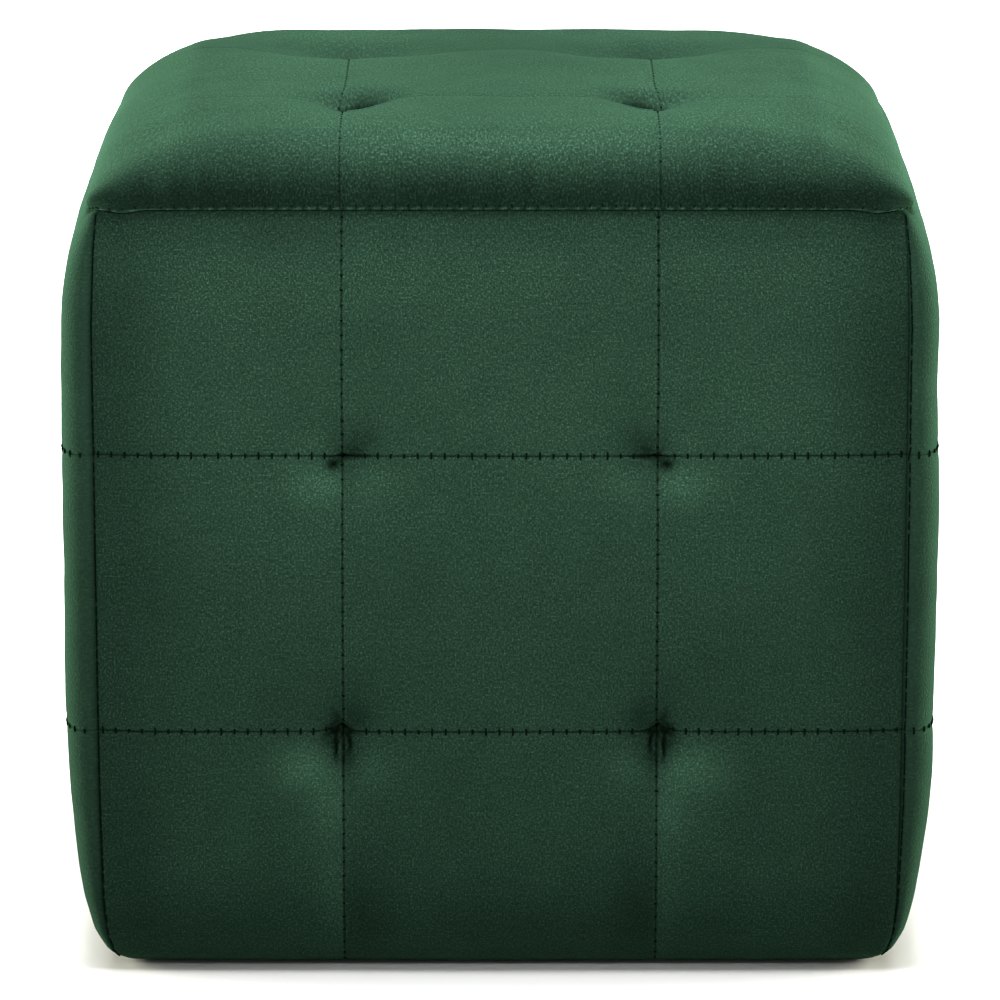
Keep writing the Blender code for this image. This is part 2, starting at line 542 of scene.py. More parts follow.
LOWER_TUFT = Tuft(
    depth=4.8,
    reach=17.0,
    point_depth=4.0,
    point_reach=5.5,
    hole_depth=1.8,
    hole_reach=1.7,
    folds=(
        Fold(269.0, 1.0, 20.0, 0.9, 0.6, -0.4),
        Fold(250.0, 1.0, 9.0, 1.0, 0.5, -0.6),
        Fold(300.0, 1.5, 7.0, 0.9, 0.5, -0.6),
        Fold(196.0, 1.0, 8.0, 0.9, 0.9, -0.6),
        Fold(350.0, 1.0, 6.0, 0.8, 0.7, -0.6),
        Fold(116.0, 1.5, 10.0, 0.8, 1.3, -0.35),
    ),
    patches=(
        Patch(-11.0, -12.5, 8.5, stretch=1.5, tone=1.10, only=-1.0),
        Patch(-4.0, -28.0, 9.0, tone=0.55, only=-1.0),
        Patch(-2.5, -58.0, 22.0, stretch=0.3, tone=0.35, only=-1.0),
        Patch(4.0, -62.0, 22.0, stretch=0.55, tone=-0.35, only=1.0),
        Patch(9.0, -13.0, 7.0, tone=0.36),
        Patch(-2.0, 0.6, 2.0, stretch=1.8, depth=0.9, tone=-1.3),
        Patch(-2.5, -5.6, 5.2, stretch=0.17, depth=0.7, tone=-0.8),
        Patch(2.2, -3.6, 3.6, stretch=0.22, depth=0.6, tone=-0.7),
        Patch(-1.5, -5.5, 3.0, stretch=0.16, depth=-0.3, tone=0.5),
        Patch(-4.6, -3.6, 2.4, stretch=1.2, tone=-0.45),
        Patch(-1.6, -7.5, 5.0, tone=-0.50),
        Patch(-2.5, 4.6, 3.2, tone=-0.32),
        Patch(5.0, 4.5, 6.0, tone=-0.42),
        Patch(0.0, 12.0, 8.0, tone=-0.20),
        Patch(0.5, -10.5, 6.5, stretch=0.9, tone=-0.32),
    ),
)

TOP_FOLDS = (
    Fold(10.0, 1.0, 14.0, 1.2, 1.4, -0.4),
    Fold(35.0, 1.0, 12.0, 0.8, 1.6, -0.2),
    Fold(180.0, 1.0, 6.0, 0.6, 1.0),
    Fold(270.0, 1.0, 8.0, 0.5, 0.8),
)

FRONT_TOP_TUFT = Tuft(
    depth=0.4,
    reach=12.0,
    point_depth=1.6,
    point_reach=3.2,
    hole_depth=1.4,
    hole_reach=1.6,
    folds=(Fold(4.0, 1.0, 21.0, 2.0, 1.5, -0.45), *TOP_FOLDS[1:]),
    patches=(
        Patch(2.0, 0.0, 9.5, stretch=1.5, depth=4.4, below=2.6),
        Patch(6.0, 3.0, 4.0, stretch=1.5, tone=-0.62),
        Patch(11.0, 8.0, 7.0, stretch=1.2, tone=-0.28),
    ),
)

BACK_TOP_TUFT = Tuft(
    depth=2.2,
    reach=17.0,
    point_depth=2.4,
    point_reach=4.0,
    hole_depth=1.6,
    hole_reach=1.7,
    folds=TOP_FOLDS,
    patches=(
        Patch(3.0, 0.0, 14.0, stretch=2.0, depth=4.4),
        Patch(2.0, -11.0, 9.0, stretch=2.0, tone=0.14),
    ),
)


@dataclass(frozen=True)
class Channel:
    """A sewn line: a soft trough with a sharp crease in its middle."""

    trough_depth: float = 0.35
    trough_reach: float = 3.0
    crease_depth: float = 0.55
    crease_reach: float = 0.38
    # Tones: painted shade along the crease line and a painted highlight beside it.
    crease_painted_shade: float = -0.62
    beside_painted_highlight: float = 0.08
    line_reach: float = 0.36
    beside_place: float = 0.75
    beside_reach: float = 0.35

    def sink(self, distance: Array) -> Array:
        """Depth of the cloth at a distance from the line."""
        trough = self.trough_depth * hump(distance, self.trough_reach)
        return trough + self.crease_depth * spike(distance, self.crease_reach)

    def tone(self, distance: Array) -> Array:
        """Painted shade in the crease, with a hint of painted highlight beside it."""
        beside = hump(np.abs(distance) - self.beside_place, self.beside_reach)
        return self.beside_painted_highlight * beside + self.crease_painted_shade * hump(distance, self.line_reach)


@dataclass
class SeamRoute:
    """A line of stitches in metres: its points, the way across it and the way out of the cloth."""

    points: Array
    across: Array
    outward: Array


class StitchStyle(Enum):
    """How a seam's stitches show.

    The sizes are the pitch, the length across the seam, the thickness, the height of the arch and
    how far its ends are lifted above the bottom of the crease.
    """

    CROSSING = (4.45, 1.85, 0.80, 0.15, 0.50)
    DOTTED = (4.95, 0.68, 0.66, 0.10, 0.35)
    FAINT = (5.0, 0.55, 0.45, 0.08, 0.10)
    TOP_EDGE = (4.3, 1.2, 0.40, 0.10, 0.0)
    CORNER = (4.9, 4.0, 0.55, 0.10, 0.15)


# ---- stitches
@dataclass
class Stitcher:
    """Sets stitches along seams with Geometry Nodes."""

    jitter: float = 0.32
    segments: int = 6
    sides: int = 5
    seed: int = 7

    def tree(self) -> bpy.types.NodeTree:
        """Build the node tree that turns seam lines into thread.

        Returns:
            The tree, with named inputs for every size.
        """
        tree = bpy.data.node_groups.new("stitch_row", "GeometryNodeTree")
        face = tree.interface
        face.new_socket("Geometry", in_out="INPUT", socket_type="NodeSocketGeometry")
        for name in ("Pitch", "Length", "Thickness", "Rise", "Lift", "Jitter"):
            face.new_socket(name, in_out="INPUT", socket_type="NodeSocketFloat")
        face.new_socket("Seed", in_out="INPUT", socket_type="NodeSocketInt")
        face.new_socket("Thread", in_out="INPUT", socket_type="NodeSocketMaterial")
        face.new_socket("Geometry", in_out="OUTPUT", socket_type="NodeSocketGeometry")
        graph = Graph(tree)
        given = graph.node("NodeGroupInput").outputs

        lines = graph.node("GeometryNodeMeshToCurve", Mesh=given["Geometry"])
        spacing = {"Curve": lines, "Length": given["Pitch"]}
        spaced = graph.node("GeometryNodeResampleCurve", {"mode": "LENGTH"}, **spacing)
        named = {"data_type": "FLOAT_VECTOR"}
        side, outward = (
            graph.node("GeometryNodeInputNamedAttribute", named, Name=name)
            for name in ("seam_side", "seam_out")
        )
        axes = {"primary_axis": "Z", "secondary_axis": "X"}
        turned = graph.node("FunctionNodeAxesToRotation", axes, in0=outward, in1=side)
        jitter = Signal(graph, given["Jitter"])
        span = {"in2": 1.0 - jitter, "in3": 1.0 + jitter, "Seed": given["Seed"]}
        uneven = graph.node("FunctionNodeRandomValue", {"data_type": "FLOAT"}, **span).outputs[1]
        placed = graph.node(
            "GeometryNodeInstanceOnPoints",
            Points=spaced,
            Instance=self._stitch(graph, given),
            Rotation=turned,
            Scale=graph.node("ShaderNodeCombineXYZ", X=uneven, Y=1.0, Z=1.0),
        )
        solid = graph.node("GeometryNodeRealizeInstances", Geometry=placed)
        smooth = graph.node("GeometryNodeSetShadeSmooth", Geometry=solid)
        dressed = graph.node("GeometryNodeSetMaterial", Geometry=smooth, Material=given["Thread"])
        graph.node("NodeGroupOutput", Geometry=dressed)
        return tree

    def _stitch(self, graph: Graph, given: Any) -> bpy.types.Node:
        """Add the nodes of one stitch: a short thread that arches out of the cloth.

        Args:
            graph: The nodes of the tree.
            given: The tree's inputs.

        Returns:
            The node that gives the stitch's mesh.
        """
        length, thickness, rise, lift = (
            Signal(graph, given[name]) for name in ("Length", "Thickness", "Rise", "Lift")
        )
        start, middle, end = (
            graph.node("ShaderNodeCombineXYZ", X=place, Y=0.0, Z=height)
            for place, height in (
                (length * -0.5, lift - rise),
                (0.0, lift + 3.0 * rise),
                (length * 0.5, lift - rise),
            )
        )
        bend = {"Resolution": self.segments, "Start": start, "Middle": middle, "End": end}
        arch = graph.node("GeometryNodeCurveQuadraticBezier", **bend)
        section = {"Resolution": self.sides, "Radius": thickness * 0.5}
        ring = graph.node("GeometryNodeCurvePrimitiveCircle", {"mode": "RADIUS"}, **section)
        return graph.node("GeometryNodeCurveToMesh", Curve=arch, Profile_Curve=ring, Fill_Caps=True)

    def sew(
        self,
        name: str,
        routes: Sequence[SeamRoute],
        style: StitchStyle,
        thread: bpy.types.Material,
    ) -> bpy.types.Object:
        """Sew some seams in one style.

        Args:
            name: Name of the new piece.
            routes: The seams.
            style: How the stitches show.
            thread: Their material.

        Returns:
            A plain mesh object.
        """
        guide = self._guide(name, routes)
        modifier = guide.modifiers.new("stitches", "NODES")
        tree = self.tree()
        modifier.node_group = tree
        sizes = zip(("Pitch", "Length", "Thickness", "Rise", "Lift"), style.value)
        values = {key: size * MM for key, size in sizes}
        values |= {"Jitter": self.jitter, "Seed": self.seed, "Thread": thread}
        for item in tree.interface.items_tree:
            if item.in_out == "INPUT" and item.name in values:
                modifier[item.identifier] = values[item.name]
        bpy.context.view_layer.update()
        evaluated = guide.evaluated_get(bpy.context.evaluated_depsgraph_get())
        piece = add_object(name, bpy.data.meshes.new_from_object(evaluated))
        guide.modifiers.remove(modifier)
        bpy.data.objects.remove(guide, do_unlink=True)
        return piece

    @staticmethod
    def _guide(name: str, routes: Sequence[SeamRoute]) -> bpy.types.Object:
        """Make one mesh of the seam lines, with the ways across and outward as attributes.

        Args:
            name: Name of the stitches' piece.
            routes: The seams.

        Returns:
            The object that the stitches are set on.
        """
        points = np.concatenate([route.points for route in routes])
        edges = []
        first = 0
        for route in routes:
            last = first + len(route.points) - 1
            edges += [(index, index + 1) for index in range(first, last)]
            first = last + 1
        mesh = bpy.data.meshes.new(f"{name}_guide")
        mesh.from_pydata(points.tolist(), edges, [])
        for attribute, key in (("seam_side", "across"), ("seam_out", "outward")):
            layer = mesh.attributes.new(attribute, "FLOAT_VECTOR", "POINT")
            values = np.concatenate([getattr(route, key) for route in routes])
            layer.data.foreach_set("vector", values.astype(np.float32).ravel())
        return add_object(f"{name}_guide", mesh)


# ---- panels
@dataclass
class PoufFrame:
    """The pouf's own sizes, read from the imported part, and the sizes that its panels share."""

    ease: float = 0.8
    seam_lip: float = 0.6
    corner_lip: float = 0.3
    lip_reach: float = 0.9
    corner_sag: float = 1.1
    seam_height: float = field(init=False)
    seam_half: float = field(init=False)
    back_half: float = field(init=False)

    def __post_init__(self) -> None:
        """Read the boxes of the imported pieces."""
        top_low, top_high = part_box("top_panel")
        self.seam_height = top_low.z / MM
        self.seam_half = top_high.x / MM
        self.back_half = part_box("base_panel")[1].x / MM + 0.3

    def sag(self, place: Array) -> Array:
        """How far the top seam dips next to the corners."""
        return self.corner_sag * hump(self.seam_half - 9.0 - np.abs(place), 4.5)


class Panel:
    """A padded panel: a grid of cloth over a rule, closed by cut edges and a flat back."""

    name: str = "panel"

    def surface(self, across: Array, along: Array) -> tuple[Array, Array]:
        """Points of the outer face, and the painted light (over 0) and painted shade (under 0) on it.
        """
        raise NotImplementedError

    def back(self, across: Array, along: Array) -> Array:
        """Points of the flat back behind some edge points."""
        raise NotImplementedError

    def lines(self) -> tuple[Array, Array]:
        """Mesh lines across and along the panel."""
        raise NotImplementedError

    def nap(self, across: Array, along: Array) -> Array:
        """How coarse the pile looks, from 0 to 1."""
        return np.ones(across.shape)

    def cloth(self, across: Array, along: Array) -> tuple[Array, Array]:
        """Places in the pattern of the pile."""
        return across, along

    @staticmethod
    def add_up(parts: Sequence[tuple[Channel | Tuft, tuple[Array, ...], Any]]) -> tuple[Array, Array]:
        """Add up what some channels and tufts do to the cloth.

        Args:
            parts: Each one, the places measured from it, and the share of it that is felt.

        Returns:
            Depth of the cloth, and the painted light and shade on it.
        """
        sink = sum(kind.sink(*places) * felt for kind, places, felt in parts)
        pile = sum(kind.tone(*places) * felt for kind, places, felt in parts)
        return sink, pile

    def build(self, material: bpy.types.Material) -> bpy.types.Object:
        """Make the panel's closed mesh.

        Args:
            material: Its finish.

        Returns:
            The new object.
        """
        across, along = np.meshgrid(*self.lines())
        points, pile = self.surface(across, along)
        index = np.arange(across.size).reshape(across.shape)
        quads = np.stack([index[:-1, :-1], index[:-1, 1:], index[1:, 1:], index[1:, :-1]], -1)
        rim = np.concatenate([index[0, :-1], index[:-1, -1], index[-1, :0:-1], index[:0:-1, 0]])
        behind = across.size + np.arange(len(rim))
        behind_after = np.roll(behind, -1)
        across, along = across.ravel(), along.ravel()
        back = self.back(across[rim], along[rim])

        vertices = np.concatenate([points.reshape(-1, 3), back, back.mean(0, keepdims=True)])
        faces = quads.reshape(-1, 4).tolist()
        faces += np.stack([np.roll(rim, -1), rim, behind, behind_after], -1).tolist()
        centre = len(vertices) - 1
        faces += [[int(after), int(place), centre] for place, after in zip(behind, behind_after)]
        mesh = bpy.data.meshes.new(self.name)
        mesh.from_pydata((vertices * MM).tolist(), [], faces)

        cloth = np.stack(self.cloth(across, along), -1)
        cloth = np.concatenate([cloth, cloth[rim] * 1.2, np.zeros((1, 2))])
        unseen = np.zeros(len(rim) + 1)
        pile = np.concatenate([pile.ravel(), unseen])
        nap = np.concatenate([self.nap(across, along), unseen + 1.0])
        self._add_cloth_layers(mesh, cloth * MM, pile, nap)
        mesh.materials.append(material)
        mesh.shade_smooth()
        mesh.set_sharp_from_angle(angle=math.radians(80.0))
        return add_object(self.name, mesh)

    @staticmethod
    def _add_cloth_layers(mesh: bpy.types.Mesh, cloth: Array, pile: Array, nap: Array) -> None:
        """Store what the velvet reads on the mesh.

        Args:
            mesh: The panel's mesh.
            cloth: Place of each point in the pattern of the pile.
            pile: Painted light and shade at each point.
            nap: How coarse it looks there.
        """
        corners = np.empty(len(mesh.loops), dtype=np.int32)
        mesh.loops.foreach_get("vertex_index", corners)
        layer = mesh.uv_layers.new(name="cloth")
        layer.data.foreach_set("uv", cloth[corners].astype(np.float32).ravel())
        # The pile attribute carries painted light and shade, which the velvet multiplies into its base
        # colour.
        for name, values in (("pile", pile), ("nap", nap)):
            layer = mesh.attributes.new(name, "FLOAT", "POINT")
            layer.data.foreach_set("value", values.astype(np.float32))

    def route(self, across: Array, along: Array, stop: bool = False) -> SeamRoute:
        """Follow a seam over the cloth.

        Args:
            across: Cloth coordinates of the seam's points.
            along: The same, the other way.
            stop: Whether the seam runs up the panel, so that its stitches cross from side to side.

        Returns:
            The route on the surface.
        """
        step = 0.4
        here = self.surface(across, along)[0]
        aside = self.surface(across + step, along)[0] - self.surface(across - step, along)[0]
        upward = self.surface(across, along + step)[0] - self.surface(across, along - step)[0]
        outward = np.cross(aside, upward)
        outward /= np.linalg.norm(outward, axis=-1, keepdims=True)
        side = aside if stop else upward
        side = side / np.linalg.norm(side, axis=-1, keepdims=True)
        return SeamRoute(here * MM, side, outward)


class Side(Enum):
    """A side of the pouf: its name and how many quarter turns it is from the front."""

    FRONT = ("front", 0)
    RIGHT = ("right", 1)
    BACK = ("back", 2)
    LEFT = ("left", 3)


@dataclass
class SidePanel(Panel):
    """An upright panel with two upright and two level channels and four tufts.

    The left and right panels wrap round the corners, so that their level seams and edges show
    on the front and back faces, and the front and back panels are flatter next to them.
    """

    pouf: PoufFrame
    side: Side
    roll: float = 11.0
    wrap: float = 8.5
    wrap_reach: float = 45.0
    overhang: float = 6.0
    overhang_reach: float = 18.0
    wrap_ease: float = 1.0
    wrap_roll_reach: float = 14.0
    flat_roll_reach: float = 26.0
    waist: float = 1.2
    waist_height: float = 125.0
    waist_reach: float = 100.0
    crown: float = 1.6
    top_reach: float = 39.0
    foot_reach: float = 77.0
    foot_share: float = 0.15
    foot_tuck: float = 1.6
    foot_round: float = 6.5
    tuft_across: float = 53.2
    lower_row: float = 86.0
    upper_row: float = 181.6
    pull_down: float = 0.21
    knot_lift: float = 1.6
    channel: Channel = field(default_factory=Channel)

    # Corner seam from the floor up: height and half width as shares of those at the top seam.
    CORNER_HEIGHT = (0.0, 0.019, 0.046, 0.095, 0.228, 0.380, 0.608, 0.855, 0.950, 1.0)
    CORNER_HALF = (0.9586, 0.9778, 0.9882, 0.9970, 1.0030, 1.0058, 1.0082, 1.0115, 1.0066, 1.0)
    # Unevenness of the cloth: size, seed and pitch.
    UNEVEN = ((0.35, 11, 60.0), (0.12, 31, 17.0))
    # Painted light and shade by height: a painted lit upper third, painted shade at the foot and a
    # painted shadow under the top seam.
    LIGHT_AND_SHADE_BY_HEIGHT = (Band(0.17, 200.0, 42.0), Band(-0.28, 14.0, 17.0), Band(-0.22, 256.0, 7.0))
    # Painted shade beside the corner seams of the flatter panels: its base depth, and the heights where
    # it is deeper.
    CORNER_SHADE_BY_HEIGHT = (Band(0.12, 205.0, 32.0), Band(0.08, 40.0, 35.0))
    CORNER_SHADE = 0.24
    # Painted marks softened round the corners; painted shade beside the corner seams, eased near the
    # top; painted shade in the seams.
    TURNED_CLOTH = Band(-0.5, 0.0, 22.0)
    NEAR_TOP = Band(-0.7, 262.0, 14.0)
    BESIDE_SEAM = Band(-1.0, 6.0, 18.0)
    CORNER_SEAM_SHADE = Band(-0.60, 0.0, 0.26)
    TOP_SEAM_SHADE = Band(-0.5, 0.0, 0.35)
    # Hem just over the floor.
    HEM = Band(0.3, 2.6, 0.5)

    @property
    def name(self) -> str:
        """Name of the panel's piece."""
        return f"{self.side.value[0]}_velvet"

    @property
    def node(self) -> str:
        """Name of the CAD node that the panel stands for."""
        return f"{self.side.value[0]}_panel"

    @property
    def wraps(self) -> bool:
        """Whether the panel wraps round the corners."""
        return self.side in (Side.LEFT, Side.RIGHT)

    def corner_half(self, height: Array) -> Array:
        """Find the corner seam.

        Args:
            height: Heights over the floor.

        Returns:
            Its distances from the middle planes.
        """
        pouf = self.pouf
        shares = np.interp(height / pouf.seam_height, self.CORNER_HEIGHT, self.CORNER_HALF)
        half = shares * pouf.seam_half + pouf.ease
        turned = 1.0 - share(height, self.foot_round)
        half = half - self.foot_round * (1.0 - np.sqrt(1.0 - turned**2))
        half = half - self.foot_tuck * (1.0 - share(height, 15.0)) ** 1.5
        return half - pouf.seam_lip * hump(pouf.seam_height - height, pouf.lip_reach)

    def tufts(self) -> list[tuple[float, float, Tuft]]:
        """Place and kind of each tuft; the first number is on which side of the middle it lies."""
        rows = ((self.lower_row, LOWER_TUFT), (self.upper_row, UPPER_TUFT))
        return [(hand, row, kind) for hand in (-1.0, 1.0) for row, kind in rows]

    def surface(self, across: Array, along: Array) -> tuple[Array, Array]:
        """Shape the outer face.

        Args:
            across: Places over the width of the cloth, from its middle.
            along: Places up the cloth, from the floor.

        Returns:
            The points, and the painted light (over 0) and painted shade (under 0).
        """
        pouf = self.pouf
        height = along + self._pulled(across, along)
        half = self.corner_half(height)
        height = height - pouf.sag(across) * share(along, pouf.seam_height) ** 10
        fixed = 0.45 * pouf.seam_half
        beyond = np.maximum(np.abs(across) - fixed, 0.0)
        width = np.minimum(np.abs(across), fixed)
        width = width + beyond * (half - fixed) / (pouf.seam_half - fixed)
        inset = half - width
        lip = pouf.corner_lip * hump(inset, pouf.lip_reach)

        under_seam = swell(pouf.seam_height - along, self.top_reach)
        over_foot = self.foot_share + (1.0 - self.foot_share) * swell(height, self.foot_reach)
        fullness = under_seam * over_foot
        if self.wraps:
            slim = self.foot_share * (1.0 - share(height, self.foot_reach))
            fullness = fullness - under_seam * slim
            wrap = self.wrap * (1.0 - share(inset, self.wrap_reach)) ** 2
            wrap = wrap + self.overhang * np.sin(math.pi * share(inset, self.overhang_reach) ** 0.6)
            width = width + wrap * fullness * under_seam
            bulge = (self.roll - self.wrap_ease) * swell(inset, self.wrap_roll_reach, roundness=1.3)
            waist = self.waist * hump(height - self.waist_height, self.waist_reach)
            bulge = bulge + waist * swell(inset, self.wrap_roll_reach)
        else:
            rest = self.roll - self.wrap
            bulge = self.wrap * under_seam + rest * swell(inset, self.flat_roll_reach, roundness=1.2)
        crown = self.crown * (1.0 - (1.0 - inset / half) ** 2)
        out = half + (bulge + crown) * fullness - lip

        calm = swell(inset, 20.0) * under_seam * swell(height, 4.0 * self.foot_round)
        for size, seed, pitch in self.UNEVEN:
            out = out + size * calm * wander(across, along, seed + self.side.value[1], pitch)
        sink, pile = self._sewn(across, along)
        hold = swell(inset, 6.0) * swell(pouf.seam_height - along, 5.0)
        out = out - sink * hold * swell(height, 3.0)
        out = out - self.HEM.over(height)
        flat = np.stack([np.sign(across) * (width - lip), -out, height], -1)
        return self._turned(flat), self._shaded(pile, along, height, inset)

    def _shaded(self, pile: Array, along: Array, height: Array, inset: Array) -> Array:
        """Add the painted light and shade by height, beside the corner seams and in the seams.

        Args:
            pile: Painted light and shade from the channels and tufts.
            along: Places up the cloth, from the floor.
            height: Heights over the floor.
            inset: Distances from the corner seam.

        Returns:
            The painted light (over 0) and painted shade (under 0).
        """
        # Round the corners the painted marks are softened; on the flatter panels painted shade lies
        # beside the corner seams.
        if self.wraps:
            pile = pile * (1.0 + self.TURNED_CLOTH.over(inset))
        else:
            depth = self.CORNER_SHADE + sum(band.over(height) for band in self.CORNER_SHADE_BY_HEIGHT)
            depth = depth * (1.0 + self.NEAR_TOP.over(height))
            pile = (1.0 + pile) * (1.0 + depth * self.BESIDE_SEAM.over(inset)) - 1.0
        # Painted shade in the corner seam and the top seam.
        pile = pile + self.CORNER_SEAM_SHADE.over(inset)
        pile = pile + self.TOP_SEAM_SHADE.over(self.pouf.seam_height - along)
        # Painted light and shade by height, with painted shade over the lower part.
        tone = sum(band.over(along) for band in self.LIGHT_AND_SHADE_BY_HEIGHT) - 0.07 * share(150.0 - along, 40.0)
        return np.maximum((1.0 + pile) * (1.0 + tone) - 1.0, -0.9)

    def nap(self, across: Array, along: Array) -> Array:
        """How coarse the pile looks: smoother where the left and right panels turn the corners."""
        if not self.wraps:
            return np.ones(across.shape)
        return 0.35 + 0.65 * share(self.pouf.seam_half - np.abs(across) - 25.0, 30.0)

    def _pulled(self, across: Array, along: Array) -> Array:
        """Draw the cloth round the tufts down or up the panel.

        Args:
            across: Places over the width of the cloth.
            along: Places up the cloth.

        Returns:
            How far each place is drawn up.
        """
        total = np.zeros(across.shape)
        for hand, row, kind in self.tufts():
            aside, above = across - hand * self.tuft_across, along - row
            total = total - self.pull_down * kind.broad(aside, above)
            if row == self.lower_row:
                total = total + self.knot_lift * hump(np.hypot(aside - 1.5 * hand, above), 4.5)
        return total

    def _sewn(self, across: Array, along: Array) -> tuple[Array, Array]:
        """Sew the channels and the tufts.

        Args:
            across: Places over the width of the cloth.
            along: Places up the cloth.

        Returns:
            Depth of the cloth, and its painted light and shade.
        """
        distances = [across - hand * self.tuft_across for hand in (-1.0, 1.0)]
        distances += [along - row for row in (self.lower_row, self.upper_row)]
        parts = [(self.channel, (distance,), 1.0) for distance in distances]
        for hand, row, kind in self.tufts():
            inward = -hand * (across - hand * self.tuft_across)
            parts.append((kind, (inward, along - row), 1.0))
        return self.add_up(parts)

    def back(self, across: Array, along: Array) -> Array:
        """Points of the flat back behind some edge points."""
        depth = self.pouf.back_half
        place = across / self.pouf.seam_half * depth
        return self._turned(np.stack([place, np.full(place.shape, -depth), along], -1))

    def _turned(self, points: Array) -> Array:
        """Turn front points to this panel's side."""
        turn = self.side.value[1] * math.pi / 2.0
        cos, sin = round(math.cos(turn)), round(math.sin(turn))
        x, y, z = points[..., 0], points[..., 1], points[..., 2]
        return np.stack([x * cos - y * sin, x * sin + y * cos, z], -1)

    def lines(self) -> tuple[Array, Array]:
        """Place the mesh lines.

        Returns:
            The lines across and along the panel.
        """
        edge = (0.0, 0.3, 0.6, 0.9, 1.3, 1.8, 2.5, 3.4, 4.6, 6.0, 8.0)
        near = (0.0, 0.16, 0.33, 0.55, 0.8, 1.1, 1.45, 1.8, 2.2, 2.6, 3.0)
        near += (3.5, 4.0, 4.6, 5.3, 6.1, 7.0, 8.0, 9.2, 10.5, 12.0, 14.0)
        half, rows = self.pouf.seam_half, (self.lower_row, self.upper_row)
        return (
            cloth_lines(-half, half, (-self.tuft_across, self.tuft_across), edge, near),
            cloth_lines(0.0, self.pouf.seam_height, rows, edge, near),
        )

    def upright_seams(self) -> list[SeamRoute]:
        """Routes of the two upright channels."""
        along = np.arange(3.0, self.pouf.seam_height - 2.0)
        places = [np.full(along.shape, hand * self.tuft_across) for hand in (-1.0, 1.0)]
        return [self.route(place, along, stop=True) for place in places]

    def corner_seam(self) -> list[SeamRoute]:
        """Route of the corner seam at the panel's left edge."""
        along = np.arange(5.0, self.pouf.seam_height - 3.0)
        return [self.route(np.full(along.shape, 0.3 - self.pouf.seam_half), along)]

    def level_seams(self) -> list[SeamRoute]:
        """Follow the two level channels, which leave out the tufts.

        Returns:
            The routes of their stitches.
        """
        reach = self.pouf.seam_half - 2.0
        inner, outer = self.tuft_across - 8.0, self.tuft_across + 6.0
        ends = ((-reach, -outer), (-inner, inner), (outer, reach))
        runs = [np.arange(low, high) for low, high in ends]
        rows = (self.lower_row, self.upper_row)
        return [self.route(run, np.full(run.shape, row)) for row in rows for run in runs]


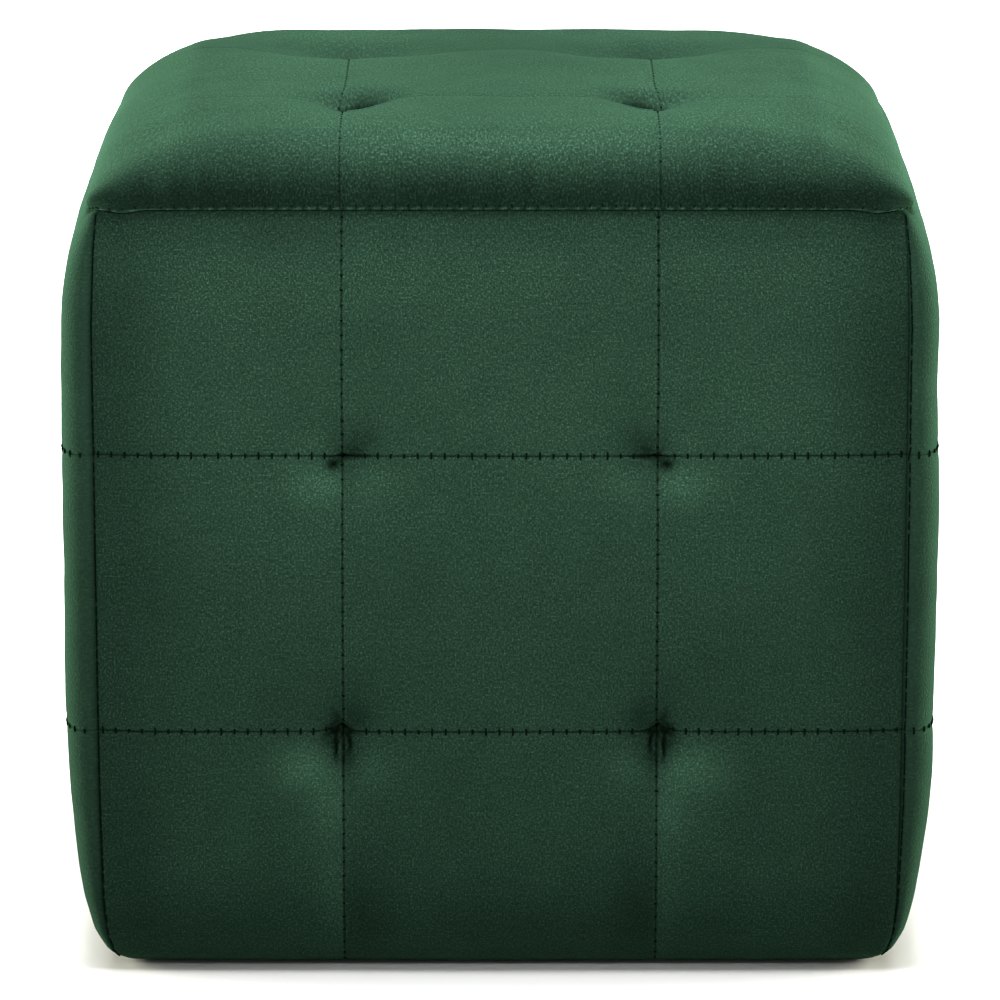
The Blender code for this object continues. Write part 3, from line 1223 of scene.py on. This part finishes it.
@dataclass
class TopPanel(Panel):
    """The crowned top with two channels each way and four tufts."""

    pouf: PoufFrame
    plateau: float = 26.0
    dome: float = 1.6
    reach: float = 31.0
    overhang: float = 7.2
    overhang_reach: float = 22.0
    overhang_lead: float = 0.52
    front_reach: float = 26.0
    front_overhang: float = 11.4
    front_overhang_reach: float = 36.0
    corner_fill: float = 1.6
    corner_reach: float = 37.0
    front_drop: float = 0.35
    back_drop: float = 0.6
    front_fade: float = 12.0
    back_fade: float = 48.0
    back_overhang: float = 0.75
    back_puff: float = 1.0
    tuft_place: float = 53.8
    front_row: float = -58.0
    back_row: float = 54.0
    upright: Channel = Channel(0.2, 3.0, 0.30, 0.25, -0.45, 0.10)
    level: Channel = Channel(0.2, 3.0, 0.12, 0.25, -0.08, 0.0)
    bend: float = 2.0
    name: str = "top_velvet"

    # Unevenness of the cloth: size, seed and pitch.
    UNEVEN = ((0.3, 51, 65.0), (0.15, 52, 19.0))
    # Painted light and shade by the distance from the middle, from the side seams and from the front
    # seam.
    MIDDLE = (Band(-0.18, 0.0, 32.0), Band(0.06, 62.0, 22.0))
    SIDE_ROLL_SHADE = Band(-0.36, 12.0, 9.0)
    FRONT_LIGHT = Band(0.60, 13.0, 6.5)
    FRONT_DARK = Band(-0.17, 21.0, 10.0)
    # Where the front's light and dark are felt, by the distance from the middle.
    BROW = Band(1.0, 0.0, 62.0)
    WINGS = Band(1.0, 85.0, 30.0)
    # Painted light and shade by the distance from the nearest seam: painted shade under the rolled
    # edge, its ripple and a painted highlight on the stitched ridge.
    EDGE_DARK = Band(-1.0, 0.0, 8.5)
    EDGE_RIPPLE = Band(0.10, 6.0, 5.0)
    RIDGE_HIGHLIGHT = Band(3.0, 0.21, 0.15)
    NEAR_CORNER = Band(-0.8, 128.0, 14.0)

    def surface(self, across: Array, along: Array) -> tuple[Array, Array]:
        """Shape the outer face.

        Args:
            across: Places over the width of the cloth, from its middle.
            along: Places from its middle to the back.

        Returns:
            The points, and the painted light (over 0) and painted shade (under 0).
        """
        pouf = self.pouf
        half = pouf.seam_half + pouf.ease - pouf.seam_lip
        insets = [half - np.abs(place) * half / pouf.seam_half for place in (across, along)]
        behind = 0.5 + 0.5 * np.tanh(along / 20.0)
        heights = [swell(inset, self.reach, rise=2.2, roundness=1.05) for inset in insets]
        ahead = swell(insets[1], self.front_reach, rise=2.4, roundness=1.1)
        heights[1] = ahead + behind * (heights[1] - ahead)
        x, y = self._rolled(insets, half, behind)
        drop = self.front_drop + behind * (self.back_drop - self.front_drop)
        cushion = self._cushion(heights)
        cushion = cushion * (1.0 - drop * hump(np.hypot(*insets), self.corner_reach))
        z = self.plateau + self.dome * (1.0 - (x / half) ** 2) * (1.0 - (y / half) ** 2)
        for size, seed, pitch in self.UNEVEN:
            z = z + size * wander(across, along, seed, pitch)
        z = z + self.back_puff * behind * hump(x - 95.0, 27.0)
        sink, pile = self._sewn(across, along)
        z = (z - sink) * cushion
        for place, height in zip((along, across), heights):
            z = z - pouf.sag(place) * (1.0 - height) ** 6
        pile = self._shaded(pile, (across, along), insets, x, 1.0 - behind)
        points = [np.sign(across) * x, np.sign(along) * y, pouf.seam_height + z]
        return np.stack(points, -1), np.maximum(pile, -0.9)

    def _rolled(self, insets: Sequence[Array], half: float, behind: Array) -> tuple[Array, Array]:
        """Roll the edges out over the seams.

        Args:
            insets: Distances from the side seams, and from the front and back seams.
            half: Distance of the seams from the middle planes.
            behind: How far back each place is, from 0 to 1.

        Returns:
            Distances of the cloth from the two middle planes.
        """
        pouf = self.pouf
        fade_reach = self.front_fade + behind * (self.back_fade - self.front_fade)
        fades = [swell(inset, fade_reach) for inset in insets]
        rolls = [
            self.overhang * np.sin(math.pi * share(inset, self.overhang_reach) ** self.overhang_lead)
            for inset in insets
        ]
        push = np.sin(math.pi * share(insets[1], self.front_overhang_reach) ** 0.6)
        rolls[1] = rolls[1] + (1.0 - behind) * (self.front_overhang * push - rolls[1])
        near = [hump(inset, pouf.lip_reach) for inset in insets]
        lip = pouf.corner_lip * near[0] * near[1]
        x = half - insets[0] + rolls[0] * fades[1] * (1.0 - behind * (1.0 - self.back_overhang))
        y = half - insets[1] + rolls[1] * fades[0]
        return x - lip, y - lip

    def _shaded(
        self,
        pile: Array,
        places: Sequence[Array],
        insets: Sequence[Array],
        aside: Array,
        ahead: Array,
    ) -> Array:
        """Add the painted light and shade over the top, on the rolled edges and on the stitches' ridge.

        Args:
            pile: Painted light and shade from the channels and tufts.
            places: Places across and along the cloth.
            insets: Distances from the side seams, and from the front and back seams.
            aside: Distance from the upright middle plane.
            ahead: How far forward each place is, from 0 to 1.

        Returns:
            The painted light (over 0) and painted shade (under 0).
        """
        across, along = places
        edge = np.minimum(*insets)
        run = np.where(insets[0] < insets[1], along, across)
        # Painted shade over the middle and painted light on the flanks; painted shade under the rolled
        # edges and down the side rolls; painted light and shade on the front slope.
        shade = 1.0 + sum(band.over(aside) for band in self.MIDDLE)
        dark = 0.40 + 0.25 * share(np.abs(across), 85.0)
        dark = dark * (1.0 + self.NEAR_CORNER.over(np.abs(across)))
        shade = shade + dark * self.EDGE_DARK.over(edge) + self.SIDE_ROLL_SHADE.over(insets[0])
        shade = shade + ahead * self.FRONT_LIGHT.over(insets[1]) * self.BROW.over(across)
        shade = shade + ahead * self.FRONT_DARK.over(insets[1]) * self.WINGS.over(aside)
        shade = shade + wander(run, edge * 0.3, 53, 9.0) * self.EDGE_RIPPLE.over(edge)
        # Painted highlight dashes on the stitched ridge, one per stitch.
        pitch = StitchStyle.TOP_EDGE.value[0]
        dashes = share(0.5 + 0.9 * np.sin(2.0 * math.pi * run / pitch), 1.0)
        return (1.0 + pile) * shade - 1.0 + dashes * self.RIDGE_HIGHLIGHT.over(edge)

    def nap(self, across: Array, along: Array) -> Array:
        """How coarse the pile looks: smoother behind the back tufts."""
        return 1.0 - 0.6 * hump(along - self.back_row - 8.0, 16.0)

    def cloth(self, across: Array, along: Array) -> tuple[Array, Array]:
        """Lay the pattern of the pile, longer on the flat and shorter down the rolls.

        Args:
            across: Places over the width of the cloth.
            along: Places from its middle to the back.

        Returns:
            The places in the pattern.
        """
        reach = 24.0
        places = []
        for place, flat, bent in ((across, 0.9, 0.5), (along, 0.35, 1.2)):
            beyond = share(np.abs(place) - (self.pouf.seam_half - reach), reach)
            places.append(flat * place + np.sign(place) * bent * reach * beyond**2 / 2.0)
        return places[0], places[1]

    def _cushion(self, heights: Sequence[Array]) -> Array:
        """Height share of the cushion, with full corners."""
        sums = sum(np.maximum(height, 1.0e-4) ** -self.corner_fill for height in heights) - 1.0
        return sums ** (-1.0 / self.corner_fill) * (np.minimum(*heights) > 0.0)

    def _sewn(self, across: Array, along: Array) -> tuple[Array, Array]:
        """Sew the channels and the tufts.

        Args:
            across: Places over the width of the cloth.
            along: Places from its middle to the back.

        Returns:
            Depth of the cloth, and its painted light and shade.
        """
        rows = ((self.front_row, FRONT_TOP_TUFT), (self.back_row, BACK_TOP_TUFT))
        fade = 1.0 - share(along - self.back_row, 8.0)
        parts = [(self.level, (along - row,), fade) for row, _ in rows]
        for hand in (-1.0, 1.0):
            inward = -hand * (across - hand * self.tuft_place)
            parts.append((self.upright, (across - self._upright_place(hand, along),), fade))
            parts += [(kind, (inward, along - row), 1.0) for row, kind in rows]
        return self.add_up(parts)

    def _upright_place(self, hand: float, along: Array) -> Array:
        """Place of an upright channel, which bends outwards at the front tuft."""
        return hand * (self.tuft_place + self.bend * hump(along - self.front_row, 14.0))

    def back(self, across: Array, along: Array) -> Array:
        """Points of the flat underside, just inside the edge points."""
        shrink = 1.0 - 4.0 / self.pouf.seam_half
        low = np.full(across.shape, self.pouf.seam_height)
        return np.stack([across * shrink, along * shrink, low], -1)

    def lines(self) -> tuple[Array, Array]:
        """Place the mesh lines.

        Returns:
            The lines across and along the panel.
        """
        edge = (0.0, 0.12, 0.24, 0.36, 0.5, 0.75, 1.0, 1.3, 1.7, 2.2, 2.8)
        edge += (3.6, 4.6, 5.8, 7.2, 8.8, 10.6, 12.6)
        near = (0.0, 0.16, 0.33, 0.55, 0.85, 1.3, 1.9, 2.6, 3.4, 4.3, 5.3)
        near += (6.4, 7.6, 8.9, 10.3, 12.0, 14.0)
        half = self.pouf.seam_half
        return (
            cloth_lines(-half, half, (-self.tuft_place, self.tuft_place), edge, near),
            cloth_lines(-half, half, (self.front_row, self.back_row), edge, near),
        )

    def edge_seams(self) -> list[SeamRoute]:
        """Follow the four edges, where the top is sewn to the sides.

        Returns:
            The routes of their stitches.
        """
        reach = self.pouf.seam_half - 2.0
        run = np.arange(-reach, reach)
        routes = []
        for hand in (-1.0, 1.0):
            fixed = np.full(run.shape, hand * (self.pouf.seam_half - 0.6))
            routes += [self.route(fixed, run, stop=True), self.route(run, fixed)]
        return routes

    def seams(self) -> list[SeamRoute]:
        """Routes of the upright channels, as far as their stitches show."""
        run = np.arange(3.0 - self.pouf.seam_half, self.back_row)
        return [self.route(self._upright_place(hand, run), run, stop=True) for hand in (-1.0, 1.0)]


@dataclass
class BasePanel:
    """The flat base between the side panels, in metres."""

    edge_round: float = 0.0012
    long_edge: float = 0.050
    name: str = "base_cloth"
    node: str = "base_panel"

    def build(self, material: bpy.types.Material) -> bpy.types.Object:
        """Make the base as a rounded plate.

        Args:
            material: Its finish.

        Returns:
            The new object.
        """
        low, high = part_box(self.node)
        middle = (low + high) / 2.0
        bm = bmesh.new()
        bmesh.ops.create_cube(bm, size=1.0, matrix=Matrix.Translation(middle))
        bmesh.ops.scale(bm, vec=high - low, space=Matrix.Translation(-middle), verts=bm.verts)
        rounding = {"offset": self.edge_round, "segments": 3, "profile": 0.5, "affect": "EDGES"}
        bmesh.ops.bevel(bm, geom=list(bm.edges), **rounding)
        edges = [edge for edge in bm.edges if edge.calc_length() > self.long_edge]
        bmesh.ops.subdivide_edges(bm, edges=edges, cuts=12, use_grid_fill=True)
        mesh = bpy.data.meshes.new(self.name)
        bm.to_mesh(mesh)
        bm.free()
        mesh.materials.append(material)
        mesh.shade_smooth()
        mesh.set_sharp_from_angle(angle=math.radians(50.0))
        return add_object(self.name, mesh)


# ---- the pouf
@dataclass
class CubePouf:
    """Dresses every node of the pouf."""

    pouf: PoufFrame = field(default_factory=PoufFrame)
    stitcher: Stitcher = field(default_factory=Stitcher)

    def build(self) -> None:
        """Make all the pieces."""
        velvet = Velvet().build()
        thread = DARK_THREAD_WITH_HOLE_SHADE.build()
        for side in Side:
            panel = SidePanel(self.pouf, side)
            self._keep(panel.build(velvet), "velvet", panel.node, fill=0.9)
            name = side.value[0]
            rows = {
                f"{name}_level_stitches": (panel.level_seams(), StitchStyle.CROSSING),
                f"{name}_upright_stitches": (panel.upright_seams(), StitchStyle.DOTTED),
                f"{name}_corner_stitches": (panel.corner_seam(), StitchStyle.CORNER),
            }
            self._sew(rows, thread)
        top = TopPanel(self.pouf)
        self._keep(top.build(velvet), "velvet", "top_panel", fill=0.85)
        rows = {
            "top_stitches": (top.seams(), StitchStyle.FAINT),
            "top_edge_stitches": (top.edge_seams(), StitchStyle.TOP_EDGE),
        }
        self._sew(rows, thread)
        base = BasePanel()
        self._keep(base.build(BASE_CLOTH.build()), "base_cloth", base.node)

    def _sew(
        self,
        rows: dict[str, tuple[list[SeamRoute], StitchStyle]],
        thread: bpy.types.Material,
    ) -> None:
        """Sew some rows of stitches.

        Args:
            rows: Routes and style of each piece of stitches, by its name.
            thread: Finish of the stitches.
        """
        for name, (routes, style) in rows.items():
            self._keep(self.stitcher.sew(name, routes, style, thread), "velvet")

    @staticmethod
    def _keep(
        piece: bpy.types.Object,
        slot: str,
        node: str | None = None,
        fill: float | None = None,
    ) -> None:
        """Attach a piece to the frame and report it.

        Args:
            piece: The finished piece.
            slot: The record's material slot; not used.
            node: The CAD node that it stands for, if any.
            fill: How tightly it is filled, if it is padded; not used.
        """
        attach(piece, "root")
        if node is not None:
            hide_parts(node)
        LOG.info("%s: %d faces", piece.name, len(piece.data.polygons))


# ---- studio
@dataclass(frozen=True)
class Lamp:
    """A square soft box, or a spot light where it has a cone; metres, watts and degrees."""

    name: str
    place: tuple[float, float, float]
    target: tuple[float, float, float]
    size: float
    power: float
    spread: float = 180.0
    cone: float | None = None
    colour: tuple[float, float, float] = (1.0, 1.0, 1.0)

    def hang(self) -> None:
        """Add the lamp and aim it."""
        data = bpy.data.lights.new(self.name, "AREA" if self.cone is None else "SPOT")
        data.energy = self.power
        data.color = self.colour
        if self.cone is None:
            data.size = self.size
            data.spread = math.radians(self.spread)
        else:
            data.shadow_soft_size = self.size
            data.spot_size = math.radians(self.cone)
            data.spot_blend = 1.0
        light = add_object(self.name, data)
        light.location = self.place
        aim = Vector(self.target) - Vector(self.place)
        light.rotation_euler = aim.to_track_quat("-Z", "Y").to_euler()


WARM = (1.0, 0.97, 0.78)
LAMPS = (
    Lamp("above", (0.0, -0.2, 1.6), (0.0, -0.1, 0.3), 0.6, 31.0),
    Lamp("far", (0.0, 3.4, 3.0), (0.0, 3.4, 0.0), 4.0, 340.0, spread=120.0),
    Lamp("left", (-0.8, 0.15, 0.2), (-0.1, -0.05, 0.13), 0.4, 7.3, colour=WARM),
    Lamp("right", (0.8, 0.15, 0.2), (0.1, -0.05, 0.13), 0.4, 7.3, colour=WARM),
    Lamp("fore_left", (-0.8, -0.15, 0.25), (-0.1, -0.1, 0.13), 0.4, 1.2, colour=WARM),
    Lamp("fore_right", (0.8, -0.15, 0.25), (0.1, -0.1, 0.13), 0.4, 1.2, colour=WARM),
    Lamp("front", (0.0, -1.85, 1.5), (0.0, -0.13, 0.275), 0.08, 171.0, cone=13.5),
)


@dataclass
class Studio:
    """Camera, lights and floor, in metres, pixels and radians."""

    pouf: PoufFrame
    distance: float = 2.5
    tilt: float = math.radians(11.8)
    pixels_per_metre: float = 2975.0
    seam_above_middle: float = 290.0
    frame_pixels: float = 1000.0
    sensor: float = 36.0
    floor_reach: float = 12.0
    surrounding_light: float = 0.22

    def build(self) -> None:
        """Set up the whole studio."""
        self._camera()
        self._floor()
        self._lights()

    def _camera(self) -> None:
        """Place the camera by where the middle of the front seam lies in the picture."""
        data = bpy.data.cameras.new("camera")
        data.sensor_width = self.sensor
        data.lens = self.pixels_per_metre * self.distance / self.frame_pixels * self.sensor
        ahead = Vector((0.0, math.cos(self.tilt), -math.sin(self.tilt)))
        upward = Vector((0.0, math.sin(self.tilt), math.cos(self.tilt)))
        seam = Vector((0.0, -self.pouf.seam_half, self.pouf.seam_height)) * MM
        rise = self.seam_above_middle / self.pixels_per_metre
        camera = add_object("camera", data)
        camera.location = seam - ahead * self.distance - upward * rise
        camera.rotation_euler = (math.pi / 2.0 - self.tilt, 0.0, 0.0)
        bpy.context.scene.camera = camera

    def _floor(self) -> None:
        """Lay a wide pale floor."""
        mesh = bpy.data.meshes.new("floor")
        signs = ((-1.0, -1.0), (1.0, -1.0), (1.0, 1.0), (-1.0, 1.0))
        corners = [(x * self.floor_reach, y * self.floor_reach, 0.0) for x, y in signs]
        mesh.from_pydata(corners, [], [(0, 1, 2, 3)])
        mesh.materials.append(STUDIO_FLOOR.build())
        add_object("floor", mesh)

    def _lights(self) -> None:
        """Hang the lamps and set the surrounding light."""
        for lamp in LAMPS:
            lamp.hang()
        world = bpy.data.worlds.new("studio")
        world.use_nodes = True
        background = world.node_tree.nodes["Background"]
        background.inputs["Color"].default_value = (1.0, 1.0, 1.0, 1.0)
        background.inputs["Strength"].default_value = self.surrounding_light
        bpy.context.scene.world = world
        bpy.context.scene.view_settings.view_transform = "Standard"


def main() -> None:
    """Build the pouf and the studio."""
    logging.basicConfig(level=logging.INFO, format="%(name)s: %(message)s")
    pouf = CubePouf()
    pouf.build()
    Studio(pouf.pouf).build()


if __name__ == "__main__":
    main()
